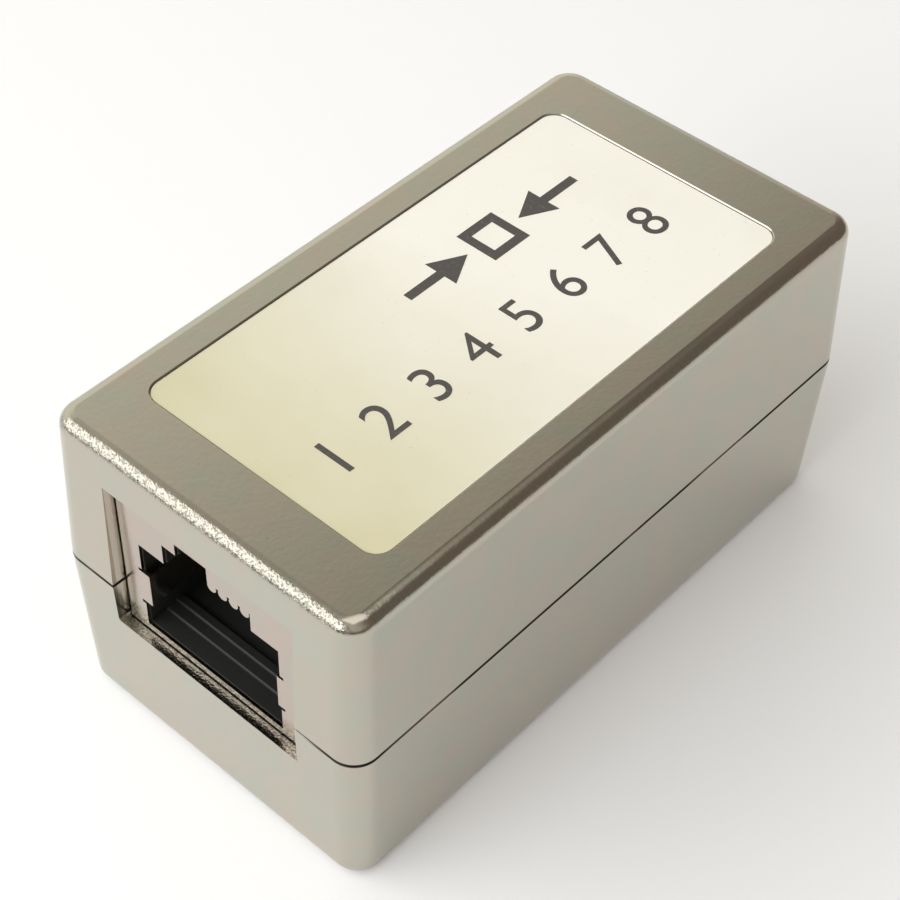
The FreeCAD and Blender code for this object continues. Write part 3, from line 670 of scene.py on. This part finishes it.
def solid_from_outline(outlines: Iterable[list[Point]], thickness: float) -> bpy.types.Mesh:
    """Raises flat outlines into closed slabs.

    Args:
        outlines: Each outline's points, counter-clockwise.
        thickness: The slabs' height, from zero upwards.

    Returns:
        One mesh with all the slabs.
    """
    build = bmesh.new()
    for outline in outlines:
        count = len(outline)
        low = [build.verts.new((x, y, 0.0)) for x, y in outline]
        high = [build.verts.new((x, y, thickness)) for x, y in outline]
        build.faces.new(high)
        build.faces.new(low[::-1])
        for here in range(count):
            ahead = (here + 1) % count
            build.faces.new((low[here], low[ahead], high[ahead], high[here]))
    mesh = bpy.data.meshes.new("slabs")
    build.to_mesh(mesh)
    build.free()
    return mesh


def mesh_of_words(words: str, size: float, thickness: float, spread: float) -> bpy.types.Mesh:
    """Turns plain characters into closed slabs, centred on their middle.

    Args:
        words: The characters.
        size: The type size.
        thickness: The slabs' height, from zero upwards.
        spread: The spacing between characters, where 1 is normal.

    Returns:
        The characters' mesh, reading along +X.
    """
    curve = bpy.data.curves.new("characters", "FONT")
    curve.body = words
    curve.size = size
    curve.space_character = spread
    curve.extrude = 0.5 * thickness
    curve.align_x, curve.align_y = "CENTER", "CENTER"
    carrier = bpy.data.objects.new("characters", curve)
    bpy.context.scene.collection.objects.link(carrier)
    bpy.context.view_layer.update()
    shaped = carrier.evaluated_get(bpy.context.evaluated_depsgraph_get())
    mesh = bpy.data.meshes.new_from_object(shaped)
    bpy.data.objects.remove(carrier)
    bpy.data.curves.remove(curve)
    mesh.transform(Matrix.Translation((0.0, 0.0, 0.5 * thickness)))
    return mesh


@dataclass
class Shells:
    """The two plated halves that close over the board."""

    nodes: tuple[str, ...] = ("upper_shell", "lower_shell")
    plating: Plating = CastPlating()

    def dress(self, solids: dict[str, bpy.types.Object]) -> None:
        """Gives both halves the satin plating."""
        material = self.plating.material("satin_plating")
        for name in self.nodes:
            solids[name].data.materials[0] = material
            log.info("%s: plated", name)


@dataclass
class TopLabel:
    """The cream label and what is printed on it."""

    node: str = "top_label"
    ink_depth: float = 0.012 * MM
    numbers: str = "1 2 3 4 5 6 7 8"
    number_size: float = 4.3 * MM
    number_spread: float = 1.2
    number_place: Point = (2.6 * MM, -0.35 * MM)
    mark_place: Point = (-3.9 * MM, 6.2 * MM)
    mark_length: float = 16.4 * MM
    mark_height: float = 3.4 * MM
    head: float = 2.6 * MM
    head_share: float = 0.8
    stem: float = 0.7 * MM
    gap: float = 0.8 * MM
    stock: LabelStock = LabelStock()
    ink: PrintInk = PrintInk()

    def mark_outlines(self) -> list[list[Point]]:
        """Returns two arrows that point at an open square between them, reading along +X."""
        half, tall, stem = 0.5 * self.mark_length, 0.5 * self.mark_height, 0.5 * self.stem
        near = tall + self.gap
        neck, barb = near + self.head, self.head_share * tall
        right = [(near, 0.0), (neck, -barb), (neck, -stem), (half, -stem),
                 (half, stem), (neck, stem), (neck, barb)]
        left = [(-x, -y) for x, y in right]
        edge = tall - self.stem
        sides = [[(-tall, -tall), (tall, -tall), (tall, -edge), (-tall, -edge)],
                 [(-tall, edge), (tall, edge), (tall, tall), (-tall, tall)],
                 [(-tall, -edge), (-edge, -edge), (-edge, edge), (-tall, edge)],
                 [(edge, -edge), (tall, -edge), (tall, edge), (edge, edge)]]
        return [left, *sides, right]

    def print_at(self, place: Point, top: float) -> Matrix:
        """Returns the turn and shift that lay a line of print on the label, reading along +Y."""
        return Matrix.Translation((*place, top)) @ Matrix.Rotation(0.5 * math.pi, 4, "Z")

    def dress(self, solids: dict[str, bpy.types.Object]) -> None:
        """Gives the label its stock and prints the mark and the numbers."""
        solids[self.node].data.materials[0] = self.stock.material("label_stock")
        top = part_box(self.node)[1].z
        ink = self.ink.material("print_ink")
        mark = solid_from_outline(self.mark_outlines(), self.ink_depth)
        mark.transform(self.print_at(self.mark_place, top))
        add_piece("label_mark", mark, ink)
        numbers = mesh_of_words(self.numbers, self.number_size, self.ink_depth,
                                self.number_spread)
        numbers.transform(self.print_at(self.number_place, top))
        add_piece("label_numbers", numbers, ink)


class End(Enum):
    """The coupler's two ends."""

    FRONT = "front"
    REAR = "rear"


@dataclass
class Jack:
    """One keyed jack: its shield, its black housing and carrier, and its sprung contacts."""

    end: End
    lines: int = 8

    def contacts(self) -> list[str]:
        """Returns the names of the contacts' nodes."""
        return [f"{self.end.value}_contact_{line}" for line in range(1, self.lines + 1)]

    def dress(self, solids: dict[str, bpy.types.Object], sheet: bpy.types.Material,
              moulding: bpy.types.Material, gold: bpy.types.Material) -> None:
        """Gives the jack's pieces their finishes.

        Args:
            solids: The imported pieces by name.
            sheet: The shield's finish.
            moulding: The housing's and the carrier's finish.
            gold: The contacts' finish.
        """
        end = self.end.value
        solids[f"{end}_jack_shield"].data.materials[0] = sheet
        solids[f"{end}_jack_housing"].data.materials[0] = moulding
        solids[f"{end}_contact_carrier"].data.materials[0] = moulding
        for name in self.contacts():
            solids[name].data.materials[0] = gold
        log.info("%s jack: shield, housing, carrier and %d contacts", end, self.lines)


@dataclass
class Board:
    """The circuit board and the solder that holds the contacts' pins."""

    node: str = "circuit_board"
    foot_radius: float = 0.46 * MM
    neck_radius: float = 0.27 * MM
    height: float = 0.42 * MM
    spread: float = 0.10
    larger_share: float = 0.5
    sides: int = 20
    rings: int = 3
    seed: int = 7
    wire: float = 0.35 * MM
    mask: SolderMask = SolderMask()
    solder: SolderTin = SolderTin()

    def pin_feet(self, jacks: list[Jack]) -> list[Vector]:
        """Returns where each contact's pin leaves the board's underside."""
        under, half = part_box(self.node)[0].z, 0.5 * self.wire
        feet = []
        for jack in jacks:
            for name in jack.contacts():
                low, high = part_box(name)
                inner = high.y - half if jack.end is End.FRONT else low.y + half
                feet.append(Vector((0.5 * (low.x + high.x), inner, under)))
        return feet

    def sizes(self) -> dict[str, float | int]:
        """Returns the values of the fillet tree's inputs, by their names."""
        return {"Foot Radius": self.foot_radius, "Neck Radius": self.neck_radius,
                "Height": self.height, "Spread": self.spread, "Seed": self.seed}

    def fillet_tree(self, material: bpy.types.Material) -> bpy.types.NodeTree:
        """Builds the tree that sets one solder fillet on each point of a mesh.

        Args:
            material: The solder's finish.

        Returns:
            The geometry node tree, with its sizes as named inputs.
        """
        tree = bpy.data.node_groups.new("solder_fillets", "GeometryNodeTree")
        tree.interface.new_socket("Geometry", in_out="INPUT", socket_type="NodeSocketGeometry")
        for name, size in self.sizes().items():
            kind = "NodeSocketInt" if isinstance(size, int) else "NodeSocketFloat"
            made = tree.interface.new_socket(name, in_out="INPUT", socket_type=kind)
            made.default_value = size
        tree.interface.new_socket("Geometry", in_out="OUTPUT", socket_type="NodeSocketGeometry")
        sheet = NodeSheet(tree)
        given = sheet.node("NodeGroupInput", output="Geometry")
        height = sheet.other(given, "Height")
        cone = sheet.node("GeometryNodeMeshCone", {"fill_type": "NGON"},
                          {"Vertices": self.sides, "Side Segments": self.rings, "Depth": height,
                           "Radius Top": sheet.other(given, "Foot Radius"),
                           "Radius Bottom": sheet.other(given, "Neck Radius")})
        hung = sheet.node("GeometryNodeTransform", {},
                          {"Geometry": cone, "Translation": sheet.node(
                              "ShaderNodeCombineXYZ", {}, {"Z": height * -1.0})})
        spread = sheet.other(given, "Spread")
        scale = sheet.node("FunctionNodeRandomValue", {"data_type": "FLOAT"},
                           {"Min_001": 1.0 - spread, "Max_001": spread * self.larger_share + 1.0,
                            "Seed": sheet.other(given, "Seed")}, "Value_001")
        fillets = sheet.node("GeometryNodeInstanceOnPoints", {},
                             {"Points": given, "Instance": hung, "Scale": scale})
        real = sheet.node("GeometryNodeRealizeInstances", {}, {"Geometry": fillets})
        finished = sheet.node("GeometryNodeSetMaterial", {},
                              {"Geometry": real, "Material": material})
        sheet.node("NodeGroupOutput", {}, {"Geometry": finished})
        return tree

    def solder_joints(self, jacks: list[Jack]) -> bpy.types.Mesh:
        """Makes the solder fillets around all the pins.

        Args:
            jacks: The jacks whose contacts are soldered.

        Returns:
            One plain mesh.
        """
        points = bpy.data.meshes.new("pin_feet")
        points.from_pydata([tuple(foot) for foot in self.pin_feet(jacks)], [], [])
        carrier = bpy.data.objects.new("pin_feet", points)
        bpy.context.scene.collection.objects.link(carrier)
        modifier = carrier.modifiers.new("Fillets", "NODES")
        modifier.node_group = self.fillet_tree(self.solder.material("solder"))
        inputs = {item.name: item.identifier for item in modifier.node_group.interface.items_tree
                  if item.in_out == "INPUT"}
        for name, size in self.sizes().items():
            modifier[inputs[name]] = size
        shaped = carrier.evaluated_get(bpy.context.evaluated_depsgraph_get())
        mesh = bpy.data.meshes.new_from_object(shaped)
        carrier.modifiers.remove(modifier)
        bpy.data.objects.remove(carrier)
        return mesh

    def dress(self, solids: dict[str, bpy.types.Object], jacks: list[Jack]) -> None:
        """Gives the board its mask and its solder."""
        solids[self.node].data.materials[0] = self.mask.material("solder_mask")
        joints = self.solder_joints(jacks)
        add_piece("solder_joints", joints, joints.materials[0])


# ---------------------------------------------------------------- floor, light and camera

@dataclass(frozen=True)
class Softbox:
    """A rectangular soft lamp that points at the coupler."""

    name: str
    towards: Triple
    distance: float
    width: float
    height: float
    power: float
    colour: Colour = (1.0, 1.0, 1.0)

    def hang(self, aim: Vector) -> None:
        """Adds the lamp.

        Args:
            aim: The point that it faces.
        """
        lamp = bpy.data.lights.new(self.name, "AREA")
        lamp.shape = "RECTANGLE"
        lamp.size, lamp.size_y = self.width, self.height
        lamp.energy = self.power
        lamp.color = self.colour
        holder = bpy.data.objects.new(self.name, lamp)
        direction = Vector(self.towards).normalized()
        holder.location = aim + direction * self.distance
        holder.rotation_euler = direction.to_track_quat("Z", "Y").to_euler()
        bpy.context.scene.collection.objects.link(holder)


@dataclass(frozen=True)
class Viewpoint:
    """Where the camera stands, and how it is turned."""

    target: Triple = (-0.839 * MM, -1.017 * MM, 12.142 * MM)
    azimuth: float = math.radians(40.94)
    elevation: float = math.radians(46.34)
    roll: float = math.radians(1.63)
    distance: float = 138.53 * MM
    lens: float = 82.77
    sensor: float = 36.0
    clip: Span = (1.0 * MM, 20.0)

    def place(self) -> None:
        """Makes the scene's camera."""
        camera = bpy.data.cameras.new("camera")
        camera.lens = self.lens
        camera.sensor_width = self.sensor
        camera.clip_start, camera.clip_end = self.clip
        holder = bpy.data.objects.new("camera", camera)
        level = math.cos(self.elevation)
        back = Vector((math.sin(self.azimuth) * level, -math.cos(self.azimuth) * level,
                       math.sin(self.elevation)))
        holder.location = Vector(self.target) + back * self.distance
        holder.rotation_mode = "QUATERNION"
        upright = (-back).to_track_quat("-Z", "Y")
        holder.rotation_quaternion = upright @ Quaternion((0.0, 0.0, 1.0), self.roll)
        bpy.context.scene.collection.objects.link(holder)
        bpy.context.scene.camera = holder


@dataclass
class Studio:
    """A plain pale floor under soft light that is brighter on the left.

    Each turn or rise holds the two values between which a part of the sky fades in, as a
    direction leans towards that part.
    """

    floor_reach: float = 3.0
    floor_drop: float = 0.02 * MM
    floor_colour: Colour = (0.925, 0.935, 0.965)
    floor_roughness: float = 0.9
    floor_lift: float = 0.07
    sky_bright: Colour = (1.08, 1.06, 0.93)
    sky_dim: Colour = (0.210, 0.172, 0.144)
    sky_front: Colour = (0.63, 0.61, 0.555)
    sky_top: Colour = (0.55, 0.52, 0.44)
    left_turn: Span = (0.43, 0.92)
    left_lean: float = 0.36
    front_turn: Span = (-0.45, 0.45)
    front_rise: Span = (0.15, 0.40)
    top_towards: Triple = (0.10, 0.12, 0.98)
    top_turn: Span = (0.83, 0.97)
    boxes: tuple[Softbox, ...] = field(default_factory=lambda: (
        Softbox("key", (-0.45, -0.715, 0.53), 0.45, 0.56, 0.38, 1.58),
        Softbox("corner", (0.10, -0.84, 0.54), 0.45, 0.14, 0.09, 0.20),
        Softbox("top", (0.10, 0.0, 1.0), 0.35, 0.26, 0.24, 0.17)))
    viewpoint: Viewpoint = Viewpoint()

    def lay_floor(self) -> None:
        """Lays the floor, which glows a little where it is seen or mirrored."""
        finish = Finish("floor")
        reach = self.floor_reach
        mesh = bpy.data.meshes.new("floor")
        outline = [(-reach, -reach), (reach, -reach), (reach, reach), (-reach, reach)]
        mesh.from_pydata([(x, y, -self.floor_drop) for x, y in outline], [], [(0, 1, 2, 3)])
        path = finish.node("ShaderNodeLightPath", output="Is Camera Ray")
        seen = path.either(finish.other(path, "Is Glossy Ray"))
        seen = seen.either(finish.other(path, "Is Transmission Ray"))
        glow = finish.shade(seen, (0.0, 0.0, 0.0), self.floor_colour)
        mesh.materials.append(finish.surface(
            Base_Color=self.floor_colour, Roughness=self.floor_roughness, Specular_IOR_Level=0.0,
            Emission_Color=glow, Emission_Strength=self.floor_lift))
        floor = bpy.data.objects.new("floor", mesh)
        bpy.context.scene.collection.objects.link(floor)
        floor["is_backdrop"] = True

    def light_room(self) -> None:
        """Lights the room: dim and brown, with a paler front and top and a bright left."""
        world = bpy.data.worlds.new("room")
        world.use_nodes = True
        sheet = NodeSheet(world.node_tree)
        place = sheet.node("ShaderNodeTexCoord", output="Generated")
        across = sheet.node("ShaderNodeSeparateXYZ", {}, {"Vector": place}, "X")
        along, height = sheet.other(across, "Y"), sheet.other(across, "Z")
        forward = (0.0 - along).ramp(*self.front_turn) * height.ramp(*self.front_rise)
        east, north, up = self.top_towards
        overhead = (across * east + along * north + height * up).ramp(*self.top_turn)
        leftward = (along * self.left_lean - across).ramp(*self.left_turn)
        colour = sheet.shade(forward, self.sky_dim, self.sky_front)
        colour = sheet.shade(overhead, colour, self.sky_top)
        colour = sheet.shade(leftward, colour, self.sky_bright)
        sky = sheet.node("ShaderNodeBackground", {}, {"Color": colour, "Strength": 1.0})
        sheet.node("ShaderNodeOutputWorld", {}, {"Surface": sky})
        bpy.context.scene.world = world

    def set_up(self) -> None:
        """Lays the floor, lights the room, hangs the lamps and places the camera."""
        bpy.context.scene.view_settings.view_transform = "Standard"
        low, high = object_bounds()
        self.lay_floor()
        self.light_room()
        for box in self.boxes:
            box.hang(0.5 * (low + high))
        self.viewpoint.place()
        log.info("studio: floor, room light, %d lamps and camera", len(self.boxes))


# ---------------------------------------------------------------- the whole coupler


def main() -> None:
    """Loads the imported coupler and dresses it, piece by piece."""
    logging.basicConfig(level=logging.INFO, format="%(name)s: %(message)s")
    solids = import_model()["nodes"]
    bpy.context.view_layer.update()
    Studio().set_up()
    Shells().dress(solids)
    TopLabel().dress(solids)
    sheet = SheetPlating().material("sheet_plating")
    moulding = BlackMoulding().material("black_moulding")
    gold = ContactGold().material("contact_gold")
    jacks = [Jack(end) for end in End]
    for jack in jacks:
        jack.dress(solids, sheet, moulding, gold)
    Board().dress(solids, jacks)


if __name__ == "__main__":
    main()
